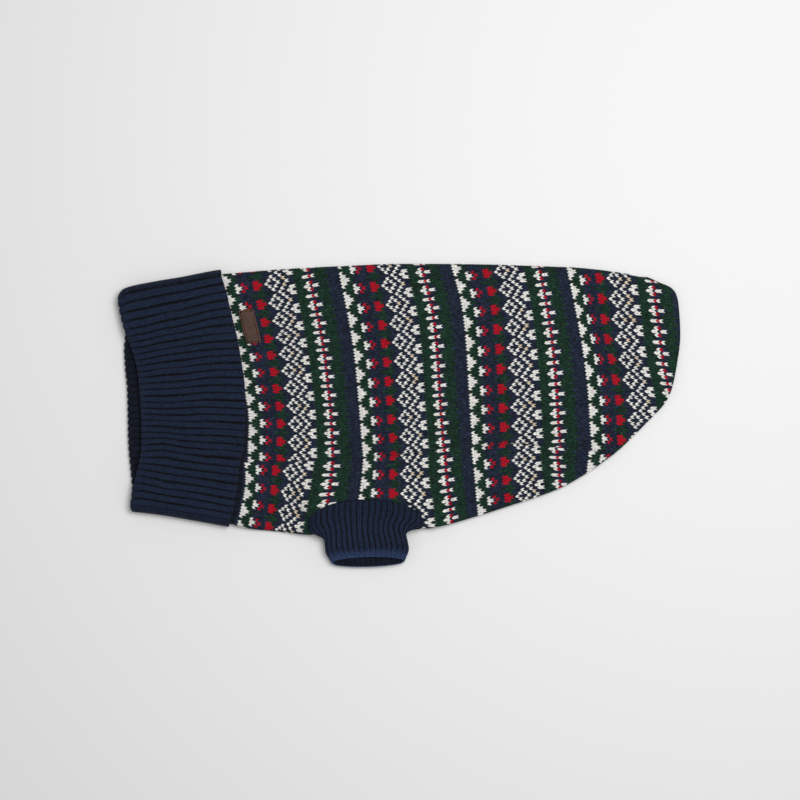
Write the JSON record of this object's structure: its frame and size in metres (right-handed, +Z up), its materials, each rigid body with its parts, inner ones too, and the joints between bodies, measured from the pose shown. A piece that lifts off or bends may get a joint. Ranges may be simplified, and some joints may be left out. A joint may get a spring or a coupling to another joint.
{
  "type": "dog sweater",
  "caption": "Knitted fair-isle dog sweater laid flat on its side, with a turned-over ribbed roll neck, two ribbed leg cuffs, a rounded tail hem and a small bare leather patch.",
  "frame": {"origin": "on the surface the garment lies on, under the middle of its box", "axes": "+X from the neck to the tail, +Y from the belly fold to the spine fold, +Z up, away from the surface"},
  "size_m": [0.5618, 0.3022, 0.0137],
  "materials": {
    "fair_isle_knit": "matt jersey in navy, green, red and off-white yarn",
    "rib_knit": "matt heathered navy rib",
    "patch_leather": "waxed brown leather with a pressed border"
  },
  "bodies": {
    "root": {"back_panel": "fair_isle_knit", "chest_panel": "fair_isle_knit", "collar": "rib_knit", "leg_cuff_near": "rib_knit", "leg_cuff_far": "rib_knit", "leather_patch": "patch_leather"}
  },
  "joints": []
}
